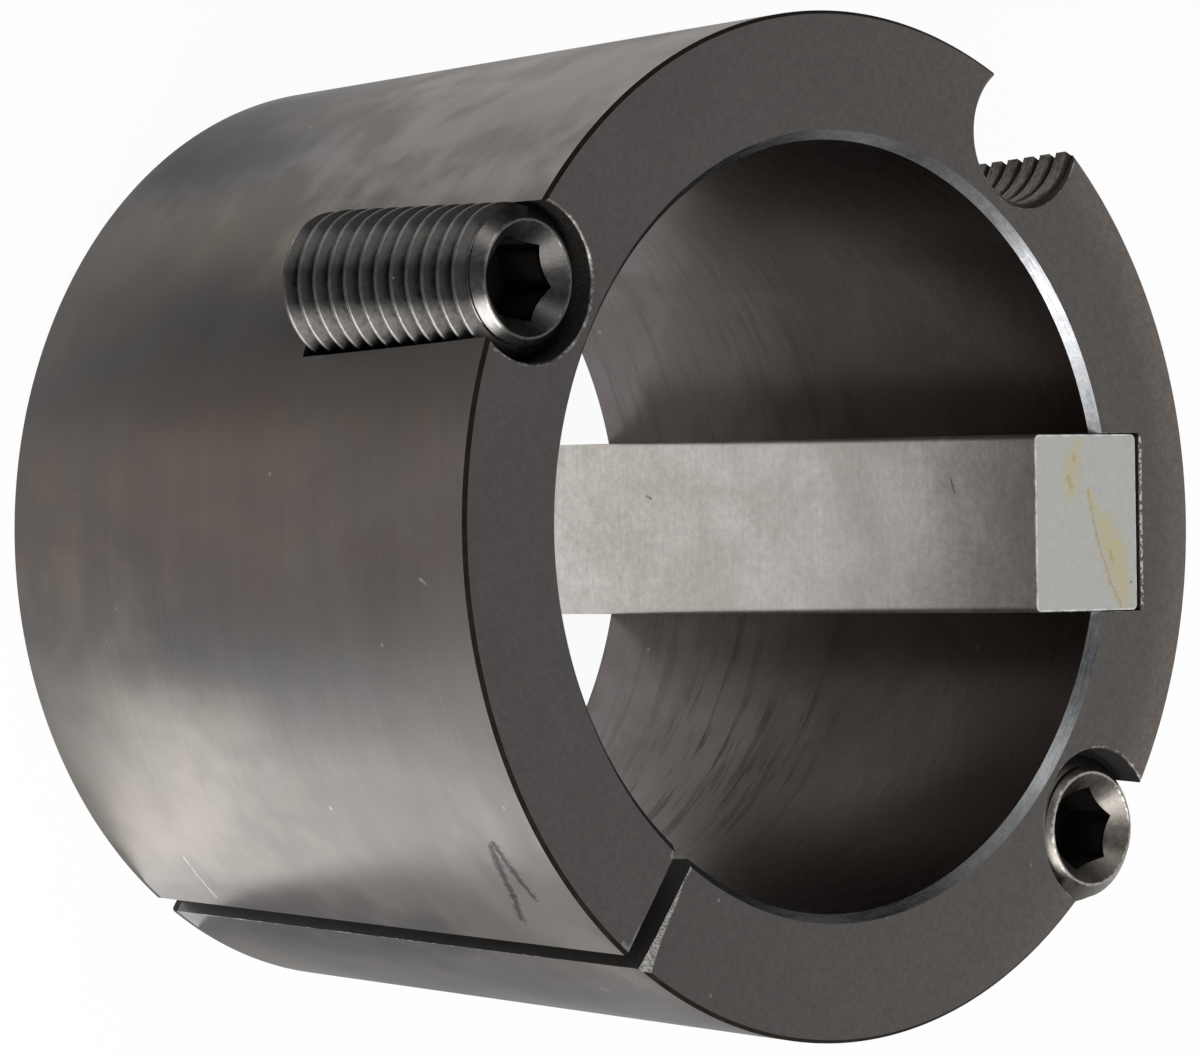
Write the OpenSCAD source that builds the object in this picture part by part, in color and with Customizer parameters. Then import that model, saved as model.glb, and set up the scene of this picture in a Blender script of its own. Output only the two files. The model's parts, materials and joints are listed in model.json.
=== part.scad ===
// Taper bush: a split conical bushing with a keyed shaft bore and two set screws.
// It stands on its small end, +Z runs up the axis to the large end, and the split faces -Y.

/* [Body] */
// Diameter of the large end
large_dia = 108; // [97:0.5:120]
// Length along the axis
body_len = 76; // [60:1:90]
// Slope of the outside, in degrees per side
taper = 4; // [2:0.5:5]
// Thickness of the wall at the large end, between the bore and the outside
wall = 13.5; // [13:0.25:18]
// Chamfer on the outer edge of each end face
rim_break = 0.4; // [0.2:0.1:0.8]
// Chamfer at each mouth of the bore
bore_chamfer = 1; // [0.4:0.1:1.2]

/* [Split] */
// Width of the cut that goes right through the wall
split_w = 2.6; // [1.2:0.1:5]

/* [Key] */
// Width of the key
key_w = 19.05; // [14:0.05:20]
// Height of the key, from the shaft's slot to the bush's slot
key_h = 15.875; // [12:0.005:16]
// Depth of the key's seat in the shaft, measured at its side
key_in_shaft = 9.525; // [8:0.005:11]
// Direction of the key round the axis, from +X
key_angle = 35; // [25:1:45]
// Space between the key and each side of its slot
key_side_gap = 0.05; // [0.02:0.01:0.1]
// Space between the key and the bottom of its slot
key_top_gap = 0.4; // [0.1:0.05:0.6]
// Rounding of the key's long edges
key_round = 0.7; // [0.3:0.1:1.5]
// Chamfer round each end of the key
key_end_break = 0.35; // [0.2:0.05:0.8]

/* [Set screws] */
// Outer diameter of the thread
screw_dia = 15.875; // [14:0.005:16.4]
// Length of a set screw
screw_len = 29.4; // [22:0.1:34]
// Pitch of the thread
pitch = 2.309; // [1.5:0.001:2.4]
// Diameter of the flat round the socket, inside the end chamfer
screw_end_dia = 12.3; // [12:0.1:13]
// Chamfer round the point of a screw
screw_point_break = 1.2; // [0.6:0.1:1.8]
// Width across the flats of the hexagon socket
socket_af = 7.94; // [6:0.01:9]
// Depth of the socket
socket_depth = 8; // [6:0.1:12]
// Diameter of the countersink at the socket's mouth
socket_mouth_dia = 11.8; // [11:0.1:11.9]
// Turn of the right and the left socket round their own axes
socket_turns = [21, 55]; // [0:1:59]

/* [Screw pockets] */
// Distance from the large end's edge in to the centres of the pockets and the removal hole
centre_inset = 3.2; // [2.4:0.1:3.4]
// Angle from the split to each pocket
pocket_angle = 85; // [78:1:95]
// Space round a screw in its pocket
pocket_clear = 0.46; // [0.3:0.02:0.6]
// Distance from the large face down to the end of the right and the left screw
screw_recess = [1.2, 0.3]; // [0:0.1:2]

/* [Removal hole] */
// Inner diameter of the tapped half hole
removal_dia = 14.7; // [13.4:0.1:15]
// Depth of the half hole
removal_depth = 34; // [26:0.5:44]
// Length at the bottom of the half hole that the tap leaves plain
removal_plain = 4; // [2:0.5:8]
// Depth of the countersink at its mouth
removal_mouth = 0.7; // [0.5:0.1:1.5]
// Space between the crests of a screw and the roots of the half hole's thread
tap_clear = 0.05; // [0.02:0.01:0.15]
// Turn of the threads of the right screw, the left screw and the half hole
thread_turns = [0, 199, 98]; // [0:1:359]

/* [Hidden] */
$fn = 96;
// Length by which a cutting shape passes the face that it opens
over = 1;

large_r = large_dia / 2;
bore_r = large_r - wall;
small_r = large_r - body_len * tan(taper);
function cone_r(z) = small_r + z * tan(taper);

key_low = sqrt(pow(bore_r, 2) - pow(key_w / 2, 2)) - key_in_shaft;
key_high = key_low + key_h;
slot_high = key_high + key_top_gap;
slot_w = key_w + 2 * key_side_gap;

screw_r = screw_dia / 2;
pocket_r = screw_r + pocket_clear;
pocket_depths = [for (recess = screw_recess) screw_len + recess];
centre_r = large_r - centre_inset;
split_dir = 270;
right_dir = split_dir + pocket_angle;
left_dir = split_dir - pocket_angle;
removal_dir = split_dir + 180;
// A screw leans outward in its pocket, almost to the pocket's own circle
screw_out = pocket_clear - 0.06;

// Thread form: 60 degree flanks, crest an eighth and root a quarter of the pitch
crest_w = pitch / 8;
root_w = pitch / 4;
flank = tan(30);
thread_depth = (pitch - crest_w - root_w) / 2 / flank;
// Steps for each turn of the helix
turn_steps = 24;
// Depth by which a thread's cutter passes the surface that it starts from
lift = 0.1;

// Places children at a distance from the axis, in a direction round it
module around(dir, dist) {
    rotate([0, 0, dir]) translate([dist, 0, 0]) children();
}

// Section of the body before anything is cut from it
module body_section() {
    polygon([
        [bore_r, bore_chamfer],
        [bore_r + bore_chamfer, 0],
        [small_r - rim_break, 0],
        [cone_r(rim_break), rim_break],
        [cone_r(body_len - rim_break), body_len - rim_break],
        [large_r - rim_break, body_len],
        [bore_r + bore_chamfer, body_len],
        [bore_r, body_len - bore_chamfer]
    ]);
}

// Slot for the key, open to the bore and to both end faces
module key_slot() {
    rotate([0, 0, key_angle])
        translate([key_low, -slot_w / 2, -over])
            cube([slot_high - key_low, slot_w, body_len + 2 * over]);
}

// Blind pocket for a set screw
module pocket(dir, depth) {
    around(dir, centre_r)
        translate([0, 0, body_len - depth])
            cylinder(r = pocket_r, h = depth + over);
}

// Section swept round the Z axis along a helix, from z = 0 up, as one closed form.
// The section is four points of radius and height, anticlockwise.
module helix(section, length) {
    steps = ceil(length / pitch * turn_steps);
    points = [
        for (i = [0 : steps], p = section)
            let (a = 360 * i / turn_steps)
                [p[0] * cos(a), p[0] * sin(a), p[1] + pitch * i / turn_steps]
    ];
    sides = [
        for (i = [0 : steps - 1], k = [0 : 3])
            let (a = 4 * i + k, b = 4 * i + (k + 1) % 4)
                each [[a, b, b + 4], [a, b + 4, a + 4]]
    ];
    last = 4 * steps;
    polyhedron(
        points = points,
        faces = concat([[3, 2, 1, 0]], sides, [[last, last + 1, last + 2, last + 3]]),
        convexity = 12
    );
}

// Groove that leaves a screw's thread standing, from z = 0 up
module screw_groove(length) {
    root_r = screw_r - thread_depth;
    outer_r = screw_r + lift;
    outer_half = root_w / 2 + (outer_r - root_r) * flank;
    section = [[root_r, -root_w / 2], [outer_r, -outer_half], [outer_r, outer_half], [root_r, root_w / 2]];
    translate([0, 0, -pitch]) helix(section, length + 2 * pitch);
}

// Groove that a tap leaves in a hole's wall, from z = 0 up
module tap_groove(hole_r, length) {
    tap_r = screw_r + tap_clear;
    inner_r = hole_r - lift;
    inner_half = crest_w / 2 + (tap_r - inner_r) * flank;
    section = [[inner_r, -inner_half], [tap_r, -crest_w / 2], [tap_r, crest_w / 2], [inner_r, inner_half]];
    helix(section, length + pitch);
}

// Tapped half hole that takes a screw to push the bush out, with a drilled end
module removal_hole() {
    removal_r = removal_dia / 2;
    mouth_r = removal_r + removal_mouth;
    drill_tip = removal_r * tan(31);
    around(removal_dir, centre_r)
        translate([0, 0, body_len - removal_depth]) {
            rotate_extrude()
                polygon([
                    [0, -drill_tip],
                    [removal_r, 0],
                    [removal_r, removal_depth - removal_mouth],
                    [mouth_r, removal_depth],
                    [mouth_r, removal_depth + over],
                    [0, removal_depth + over]
                ]);
            translate([0, 0, removal_plain])
                rotate([0, 0, thread_turns[2] - removal_dir])
                    tap_groove(removal_r, removal_depth - removal_plain);
        }
}

module split_cut() {
    rotate([0, 0, split_dir])
        translate([bore_r - 3 * over, -split_w / 2, -over])
            cube([large_r - bore_r + 6 * over, split_w, body_len + 2 * over]);
}

module bush() {
    color("#4a4744")
        difference() {
            rotate_extrude($fn = 192) body_section();
            key_slot();
            pocket(right_dir, pocket_depths[0]);
            pocket(left_dir, pocket_depths[1]);
            removal_hole();
            split_cut();
        }
}

// Rectangle with rounded corners, centred on X and Y
module rounded_rect(w, h, r) {
    square([w - 2 * r, h], center = true);
    square([w, h - 2 * r], center = true);
    for (sx = [-1, 1], sy = [-1, 1])
        translate([sx * (w / 2 - r), sy * (h / 2 - r)]) circle(r = r, $fn = 24);
}

// Rectangle with chamfered corners, standing from y = 0 up
module broken_rect(w, h, c) {
    polygon([
        [-w / 2 + c, 0], [w / 2 - c, 0], [w / 2, c], [w / 2, h - c],
        [w / 2 - c, h], [-w / 2 + c, h], [-w / 2, h - c], [-w / 2, c]
    ]);
}

// Key: a bar as long as the body, with rounded long edges and chamfered ends
module key() {
    color("#b5b2ac")
        rotate([0, 0, key_angle])
            translate([key_low + key_h / 2, 0, 0])
                intersection() {
                    linear_extrude(body_len) rounded_rect(key_h, key_w, key_round);
                    rotate([90, 0, 0])
                        linear_extrude(key_w + 2 * over, center = true)
                            broken_rect(key_h, body_len, key_end_break);
                    rotate([90, 0, 90])
                        linear_extrude(key_h + 2 * over, center = true)
                            broken_rect(key_w, body_len, key_end_break);
                }
}

// Set screw with a hexagon socket, from its point at z = 0 up
module set_screw(socket_turn, thread_turn) {
    end_r = screw_end_dia / 2;
    end_chamfer = screw_r - end_r;
    mouth_r = socket_mouth_dia / 2;
    corner_r = socket_af / 2 / cos(30);
    color("#3a3835")
        difference() {
            rotate_extrude()
                polygon([
                    [0, 0],
                    [screw_r - screw_point_break, 0],
                    [screw_r, screw_point_break],
                    [screw_r, screw_len - end_chamfer],
                    [end_r, screw_len],
                    [0, screw_len]
                ]);
            rotate([0, 0, thread_turn]) screw_groove(screw_len);
            translate([0, 0, screw_len - socket_depth])
                rotate([0, 0, socket_turn])
                    cylinder(r = corner_r, h = socket_depth + over, $fn = 6);
            // Countersink at 45 degrees, which scallops the hexagon's sides
            translate([0, 0, screw_len - mouth_r])
                cylinder(r1 = 0, r2 = mouth_r + over, h = mouth_r + over);
        }
}

// A set screw stands on the floor of its pocket: 0 is the right one and 1 the left one
module seated_screw(side, dir) {
    around(dir, centre_r + screw_out)
        translate([0, 0, body_len - pocket_depths[side]])
            rotate([0, 0, -dir]) set_screw(socket_turns[side], thread_turns[side]);
}

module screw_right() {
    seated_screw(0, right_dir);
}

module screw_left() {
    seated_screw(1, left_dir);
}

bush();
key();
screw_right();
screw_left();
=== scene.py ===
# %% [markdown]
# # A taper bush
# A taper bush is a split cone of blackened iron. A pair of set screws draws it into a hub, so that it clamps
# a keyed shaft. This lesson models it in Blender with bmesh operators and gives every surface its finish:
# turned, bored, sawn, tapped, worn bright and stained.

# %% Load the frame
import json
import math
import random

import bmesh
import bpy
from mathutils import Matrix, Vector

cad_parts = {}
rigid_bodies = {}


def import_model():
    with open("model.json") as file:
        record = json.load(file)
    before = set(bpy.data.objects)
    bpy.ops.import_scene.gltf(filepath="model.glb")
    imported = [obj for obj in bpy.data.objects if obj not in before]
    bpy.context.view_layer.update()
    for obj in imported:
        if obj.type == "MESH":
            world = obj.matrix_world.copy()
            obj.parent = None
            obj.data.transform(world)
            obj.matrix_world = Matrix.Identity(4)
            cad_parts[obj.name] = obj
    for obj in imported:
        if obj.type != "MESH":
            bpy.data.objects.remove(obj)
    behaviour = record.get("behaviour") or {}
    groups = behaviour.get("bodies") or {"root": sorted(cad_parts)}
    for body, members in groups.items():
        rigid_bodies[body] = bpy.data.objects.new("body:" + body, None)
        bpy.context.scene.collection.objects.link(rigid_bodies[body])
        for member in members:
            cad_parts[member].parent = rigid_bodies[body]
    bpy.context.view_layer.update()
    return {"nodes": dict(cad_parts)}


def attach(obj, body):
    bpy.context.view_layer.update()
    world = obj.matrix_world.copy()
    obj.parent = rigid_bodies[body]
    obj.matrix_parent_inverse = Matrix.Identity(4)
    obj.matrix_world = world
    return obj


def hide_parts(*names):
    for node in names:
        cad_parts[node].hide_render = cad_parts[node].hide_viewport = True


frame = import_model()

print("nodes:", sorted(frame["nodes"]))

# %% [markdown]
# ## Sizes
# The pieces are modelled in millimetres, because the finest details are about a tenth of one, and each
# mesh is scaled to metres when it is finished. These sizes are the part's own. More follow where they are
# first needed, and the rest is worked out from them. Directions are measured round the axis from +X, and the
# split faces -Y. The body stands on its small end, with its axis on Z.

# %% Sizes of the body in millimetres
MM = 0.001
LARGE_R = 54.0
LENGTH = 76.0
TAPER = math.radians(4)
WALL = 13.5
RIM_BREAK = 0.4
BORE_R = LARGE_R - WALL
SMALL_R = LARGE_R - LENGTH * math.tan(TAPER)
print(f"bore {BORE_R} mm, small end {SMALL_R:.2f} mm")

# %% Sizes of the key
KEY_W = 19.05
KEY_H = 15.875
KEY_IN_SHAFT = 9.525
KEY_DIR = math.radians(35)
KEY_TOP_GAP = 0.4
KEY_LOW = math.sqrt(BORE_R**2 - (KEY_W / 2) ** 2) - KEY_IN_SHAFT
KEY_HIGH = KEY_LOW + KEY_H
SLOT_HIGH = KEY_HIGH + KEY_TOP_GAP
print(f"key from {KEY_LOW:.2f} to {KEY_HIGH:.2f} mm")

# %% Sizes and places of the screws and the half hole
SCREW_R = 7.9375
SCREW_LEN = 29.4
END_FLAT_R = 6.15
SOCKET_AF = 7.94
CENTRE_IN = 3.2
CENTRE_R = LARGE_R - CENTRE_IN
SCREW_OUT = 0.4
SCREWS = {
    "screw_right": {
        "dir": math.radians(355),
        "recess": 1.2,
        "socket_turn": math.radians(21),
        "thread_turn": 0.0,
    },
    "screw_left": {
        "dir": math.radians(185),
        "recess": 0.3,
        "socket_turn": math.radians(55),
        "thread_turn": math.radians(199),
    },
}
REMOVAL_DIR = math.radians(90)
REMOVAL_R = 7.35


def on_circle(direction, radius, z=0.0):
    return Vector((radius * math.cos(direction), radius * math.sin(direction), z))


print(f"screws and half hole on a circle of {CENTRE_R:.1f} mm")

# %% [markdown]
# ## Camera
# The photograph looks down on the large end at about 46 degrees, from the side opposite the key, with a long
# lens. The camera is turned on its own axis so that the bush's axis lies level in the picture.

# %% Camera
CAMERA_PLACE = Vector((-0.568084, -0.395648, 0.753527))
CAMERA_LOOK = Vector((0.57124, 0.39814, -0.71775))
CAMERA_UP = Vector((-0.56409, 0.82566, 0.00906))
FOCAL_MM = 277.98

camera_data = bpy.data.cameras.new("camera")
camera_data.lens = FOCAL_MM
camera_data.sensor_width = 36.0
camera_data.clip_start = 0.05
camera_data.clip_end = 20.0
camera = bpy.data.objects.new("camera", camera_data)
bpy.context.scene.collection.objects.link(camera)
across = CAMERA_LOOK.cross(CAMERA_UP).normalized()
up = across.cross(CAMERA_LOOK).normalized()
turn = Matrix((across, up, -CAMERA_LOOK.normalized())).transposed()
camera.matrix_world = Matrix.Translation(CAMERA_PLACE) @ turn.to_4x4()
bpy.context.scene.camera = camera
print("camera at", tuple(round(x, 3) for x in CAMERA_PLACE))

# %% [markdown]
# ## Helpers for nodes
# Materials are built from nodes. A small class keeps that short: it adds a node, sets its sockets, and links
# a socket wherever another node's output is given in place of a value.


# %% Helpers that add nodes
def rgba(colour):
    return colour if isinstance(colour, bpy.types.NodeSocket) else (*colour, 1.0)


class Net:
    """A node tree with short ways to add nodes to it."""

    def __init__(self, tree):
        self.tree = tree

    def node(self, kind, inputs=None, **settings):
        made = self.tree.nodes.new("ShaderNode" + kind)
        for name, value in settings.items():
            setattr(made, name, value)
        for socket, value in (inputs or {}).items():
            self.put(made.inputs[socket], value)
        return made

    def put(self, socket, value):
        if isinstance(value, bpy.types.NodeSocket):
            self.tree.links.new(value, socket)
        else:
            socket.default_value = value

    def calc(self, operation, *values):
        return self.node("Math", dict(enumerate(values)), operation=operation).outputs[0]

    def vector(self, operation, *values):
        made = self.node("VectorMath", operation=operation)
        for socket, value in zip(made.inputs, values):
            self.put(socket, value)
        return made.outputs["Value" if operation in ("LENGTH", "DISTANCE", "DOT_PRODUCT") else "Vector"]

    def scaled(self, vector, factor):
        return self.node("VectorMath", {0: vector, "Scale": factor}, operation="SCALE").outputs[0]

    def step(self, value, low, high, start=0.0, end=1.0):
        """A smooth change from start at low to end at high."""
        sockets = {"Value": value, "From Min": low, "From Max": high, "To Min": start, "To Max": end}
        return self.node("MapRange", sockets, interpolation_type="SMOOTHSTEP").outputs[0]

    def between(self, noise, start=0.0, end=1.0):
        """A number from start to end that follows a noise, most of which lies from 0.3 to 0.7."""
        return self.step(noise, 0.3, 0.7, start, end)

    def noise(self, vector, scale, detail=2.0, roughness=0.5, distortion=0.0):
        sockets = {"Vector": vector, "Scale": scale, "Detail": detail, "Roughness": roughness,
                   "Distortion": distortion}
        return self.node("TexNoise", sockets).outputs["Fac"]

    def mix(self, factor, first, second, blend="MIX"):
        """Mixes two colours."""
        sockets = {0: factor, 6: rgba(first), 7: rgba(second)}
        return self.node("Mix", sockets, data_type="RGBA", blend_type=blend).outputs[2]

    def shade(self, colour, factor):
        """Multiplies a colour by a number."""
        return self.mix(1.0, colour, self.join(factor, factor, factor), "MULTIPLY")

    def join(self, x, y, z=0.0):
        return self.node("CombineXYZ", {0: x, 1: y, 2: z}).outputs[0]

    def use(self, group, **sockets):
        """Places a shared node group, whose sockets have the same names with a capital."""
        made = self.tree.nodes.new("ShaderNodeGroup")
        made.node_tree = group
        for name, value in sockets.items():
            self.put(made.inputs[name.capitalize()], value)
        return made.outputs


def shared(name, inputs, outputs):
    """A new node group: its net, the sockets that its nodes read, and those that they write."""
    tree = bpy.data.node_groups.new(name, "ShaderNodeTree")
    for direction, sockets in (("INPUT", inputs), ("OUTPUT", outputs)):
        for socket, kind in sockets.items():
            tree.interface.new_socket(socket, in_out=direction, socket_type="NodeSocket" + kind)
    print("group:", name)
    return Net(tree), tree.nodes.new("NodeGroupInput").outputs, tree.nodes.new("NodeGroupOutput").inputs


# %% [markdown]
# ## Shared effects
# Most of this part was made on a lathe or a drill, so its marks run round an axis. The first group turns
# Object coordinates into millimetres measured from such an axis. The bearing is the angle from the split,
# and it jumps at the back. Unrolled lays the outside cone flat, for marks that are placed one by one.

# %% Group: place on the piece
UNROLL_R = 52.0

net, given, result = shared(
    "place_on_piece",
    {"Centre": "Vector", "Turn": "Float"},
    {"Place": "Vector", "Radius": "Float", "Height": "Float", "Around": "Vector", "Unrolled": "Vector"},
)
coordinates = net.node("TexCoord").outputs["Object"]
moved = net.vector("SUBTRACT", net.scaled(coordinates, 1 / MM), given["Centre"])
turned_back = net.calc("MULTIPLY", given["Turn"], -1.0)
place = net.node("VectorRotate", {"Vector": moved, "Angle": turned_back}, rotation_type="Z_AXIS").outputs[0]
flat = net.vector("MULTIPLY", place, (1, 1, 0))
parts = net.node("SeparateXYZ", {0: place}).outputs
bearing = net.calc("ARCTAN2", parts["X"], net.calc("MULTIPLY", parts["Y"], -1.0))
net.put(result["Place"], place)
net.put(result["Radius"], net.vector("LENGTH", flat))
net.put(result["Height"], parts["Z"])
net.put(result["Around"], net.vector("NORMALIZE", flat))
net.put(result["Unrolled"], net.join(net.calc("MULTIPLY", bearing, UNROLL_R), parts["Z"]))
PLACE = net.tree

# %% [markdown]
# The other groups are the marks themselves. Tool lines are a noise that changes fast across the lines and
# slowly along them. Stains are a soft noise cut between two levels. Flecks are the middles of random cells,
# of which only a share is kept.

# %% Group: tool lines round an axis
net, given, result = shared(
    "tool_lines",
    {"Around": "Vector", "Across": "Float", "Fineness": "Float", "Reach": "Float"},
    {"Lines": "Float"},
)
across_lines = net.join(0.0, 0.0, net.calc("MULTIPLY", given["Across"], given["Fineness"]))
along_lines = net.scaled(given["Around"], given["Reach"])
net.put(result["Lines"], net.noise(net.vector("ADD", along_lines, across_lines), 1.0, 4.0, 0.65))
TOOL_LINES = net.tree

# %% Group: stains
net, given, result = shared(
    "stains", {"Place": "Vector", "Size": "Float", "Low": "Float", "High": "Float"}, {"Mask": "Float"}
)
wander = net.noise(given["Place"], net.calc("DIVIDE", 1.0, given["Size"]), 3.0, 0.55, 0.6)
net.put(result["Mask"], net.step(wander, given["Low"], given["High"]))
STAINS = net.tree

# %% Group: flecks
net, given, result = shared(
    "flecks", {"Place": "Vector", "Size": "Float", "Share": "Float"}, {"Flecks": "Float"}
)
cells = net.node("TexVoronoi", {"Vector": given["Place"], "Scale": net.calc("DIVIDE", 1.0, given["Size"])})
chance = net.node("SeparateColor", {0: cells.outputs["Color"]}).outputs
kept = net.calc("LESS_THAN", chance["Red"], given["Share"])
reach = net.calc("MULTIPLY_ADD", chance["Green"], 0.12, 0.05)
net.put(result["Flecks"], net.calc("MULTIPLY", kept, net.step(cells.outputs["Distance"], reach, 0.0)))
FLECKS = net.tree

# %% [markdown]
# Wear follows an edge, so it is a mask of the distance to that edge, with a ragged limit. A stroke is the
# distance to a short straight line, which gives scratches, scuffs and burrs, and a spot is a soft patch.

# %% Group: worn edge
net, given, result = shared(
    "worn_edge", {"Place": "Vector", "Distance": "Float", "Width": "Float"}, {"Mask": "Float"}
)
ragged = net.noise(given["Place"], 1.4, 4.0, 0.7)
limit = net.calc("MULTIPLY", given["Width"], net.between(ragged, 0.2, 1.8))
core = net.calc("MULTIPLY", limit, 0.45)
net.put(result["Mask"], net.step(net.calc("ABSOLUTE", given["Distance"]), limit, core))
WORN_EDGE = net.tree

# %% Group: stroke
net, given, result = shared(
    "stroke", {"Point": "Vector", "Start": "Vector", "End": "Vector", "Width": "Float"}, {"Mask": "Float"}
)
whole = net.vector("SUBTRACT", given["End"], given["Start"])
part = net.vector("SUBTRACT", given["Point"], given["Start"])
share = net.calc("DIVIDE", net.vector("DOT_PRODUCT", part, whole), net.vector("DOT_PRODUCT", whole, whole))
share = net.node("Clamp", {0: share}).outputs[0]
nearest = net.scaled(whole, share)
core = net.calc("MULTIPLY", given["Width"], 0.2)
net.put(result["Mask"], net.step(net.vector("DISTANCE", part, nearest), given["Width"], core))
STROKE = net.tree

# %% Group: spot
net, given, result = shared(
    "spot", {"Point": "Vector", "Centre": "Vector", "Reach": "Vector", "Ragged": "Float"}, {"Mask": "Float"}
)
offset = net.vector("DIVIDE", net.vector("SUBTRACT", given["Point"], given["Centre"]), given["Reach"])
distance = net.calc("ADD", net.vector("LENGTH", offset), given["Ragged"])
net.put(result["Mask"], net.step(distance, 1.25, 0.1))
SPOT = net.tree

# %% [markdown]
# ## The finish of a surface
# Each finish is a material with its own Principled shader. What is the same all over is set straight on the
# shader's sockets, and what changes over the surface is linked to it.


# %% Helper that starts a finish
class Finish(Net):
    """A material's net with its shader and the place on the piece."""

    def __init__(self, name, centre=(0, 0, 0), turn=0.0, **plain):
        self.material = bpy.data.materials.new(name)
        self.material.use_nodes = True
        super().__init__(self.material.node_tree)
        self.shader = self.tree.nodes["Principled BSDF"]
        self.show(**plain)
        self.at = self.use(PLACE, centre=centre, turn=turn)
        print("finish:", name)

    def show(self, **sockets):
        for socket, value in sockets.items():
            self.put(self.shader.inputs[socket.replace("_", " ")], value)

    def tool_lines(self, fineness, reach, across="Height"):
        """Lines round the piece's axis. More fineness brings them closer, and more reach breaks them up."""
        made = self.use(
            TOOL_LINES, around=self.at["Around"], across=self.at[across], fineness=fineness, reach=reach
        )
        return made["Lines"]

    def grain(self, scale, detail, roughness):
        """An even noise all over the piece."""
        return self.noise(self.at["Place"], scale, detail, roughness)

    def flecks(self, size, share):
        """The flecks that are kept in a share of all cells of a size."""
        return self.use(FLECKS, place=self.at["Place"], size=size, share=share)[0]

    def coat(self, colour, noise, smoothest, roughest):
        """Shows a colour, and a roughness that follows a noise."""
        self.show(Base_Color=colour, Roughness=self.between(noise, smoothest, roughest))

    def relief(self, *layers):
        """Bumps of the given heights in millimetres, one on top of the other."""
        normal = None
        for height, depth in layers:
            bump = self.node("Bump", {"Height": height, "Distance": depth * MM, "Strength": 1.0})
            if normal:
                self.put(bump.inputs["Normal"], normal)
            normal = bump.outputs[0]
        self.put(self.shader.inputs["Normal"], normal)

    def strokes(self, colour, point, marks, mark_colour, strength):
        """Draws strokes over a colour: each mark is its start, its end and its width."""
        uneven = self.between(self.grain(2.2, 3.0, 0.6), 0.3, 1.5)
        for start, end, width in marks:
            wide = self.calc("MULTIPLY", uneven, width)
            mask = self.use(STROKE, point=point, start=(*start, 0), end=(*end, 0), width=wide)[0]
            colour = self.mix(self.calc("MULTIPLY", mask, strength), colour, mark_colour)
        return colour

    def spot(self, point, ragged, centre, reach):
        """The mask of one soft patch."""
        return self.use(SPOT, point=point, ragged=ragged, centre=(*centre, 0), reach=(*reach, 1))[0]

    def ragged(self, point):
        """How far the limit of a patch wanders, in shares of its reach."""
        return self.between(self.noise(point, 0.12, 3.0, 0.5), -0.35, 0.35)

    def spots(self, colour, point, marks):
        """Tints patches of a colour: each mark is its centre, its reach, its tint and its strength."""
        ragged = self.ragged(point)
        for centre, reach, tint, strength in marks:
            mask = self.spot(point, ragged, centre, reach)
            colour = self.mix(self.calc("MULTIPLY", mask, strength), colour, tint, "MULTIPLY")
        return colour


# %% [markdown]
# ## Finish: the turned cone
# The outside was turned and polished, then blackened, so it is a dark metal with fine grooves round the
# axis. Those grooves spread a highlight along the axis, which the shader's anisotropy gives. The bath left
# cloudy stains, warm in some places and cooler in others, and handling left scuffs and scratches. Among the
# patches, the strongly lightening ones are painted highlights, and the dark one at the split is painted
# shade.

# %% The turned cone
WARM = (0.125, 0.1135, 0.105)
COOL = (0.108, 0.1025, 0.102)
PALE = (0.147, 0.1385, 0.127)
STEEL = (0.42, 0.41, 0.40)

cone = Finish("turned_black", Metallic=1.0, Anisotropic=0.85, Anisotropic_Rotation=0.25)
lines = cone.tool_lines(fineness=5.0, reach=3.0)
bands = cone.tool_lines(fineness=0.35, reach=1.6)
wide = cone.vector("MULTIPLY", cone.at["Place"], (1, 1, 0.55))
cool = cone.use(STAINS, place=wide, size=22.0, low=0.36, high=0.74)[0]
pale = cone.use(STAINS, place=cone.vector("ADD", wide, (31, 7, 11)), size=14.0, low=0.4, high=0.8)[0]
flecks = cone.flecks(size=2.4, share=0.05)

colour = cone.mix(cool, WARM, COOL)
colour = cone.mix(cone.calc("MULTIPLY", pale, 0.45), colour, PALE)
colour = cone.shade(colour, cone.between(bands, 0.97, 1.03))
colour = cone.shade(colour, cone.between(lines, 0.95, 1.05))
# Patches: centre, reach, tint and strength. The four that lighten by 1.36 to 2.35 times are painted
# highlights, the dark one at (0, 20) beside the split is painted shade, and the rest are stains.
CONE_STAINS_AND_PAINTED_LIGHT = (
    ((-107, 6), (16, 18), (0.55, 0.54, 0.60), 0.9),
    ((-98, 17), (9, 24), (0.74, 0.77, 0.86), 0.7),
    ((-86, 18), (8, 24), (1.24, 1.14, 1.02), 0.8),
    ((-106, 66), (24, 44), (2.35, 2.30, 2.25), 0.9),
    ((-9, 72), (13, 16), (1.36, 1.36, 1.38), 0.9),
    ((-54, 40), (17, 60), (1.10, 0.97, 0.90), 0.9),
    ((-47, 61), (8, 6), (0.76, 0.79, 0.86), 0.5),
    ((-43, 27), (11, 14), (0.86, 0.89, 0.93), 0.4),
    ((8, 71), (12, 10), (1.36, 1.36, 1.38), 0.9),
    ((-33, 43), (6, 8), (0.84, 0.87, 0.92), 0.5),
    ((-90, 58), (12, 12), (0.80, 0.80, 0.84), 0.6),
    ((0, 20), (9, 40), (0.48, 0.48, 0.51), 0.9),
    ((-22, 6), (27, 34), (1.46, 1.47, 1.44), 0.8),
)
colour = cone.spots(colour, cone.at["Unrolled"], CONE_STAINS_AND_PAINTED_LIGHT)
SCUFFS = (
    ((-16.8, 68.0), (-9.6, 68.9), 0.75),
    ((-16.5, 67.3), (-9.5, 65.6), 0.8),
    ((-9.5, 65.6), (-5.8, 63.7), 0.7),
)
colour = cone.strokes(colour, cone.at["Unrolled"], SCUFFS, (0.035, 0.035, 0.04), 0.85)
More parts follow.
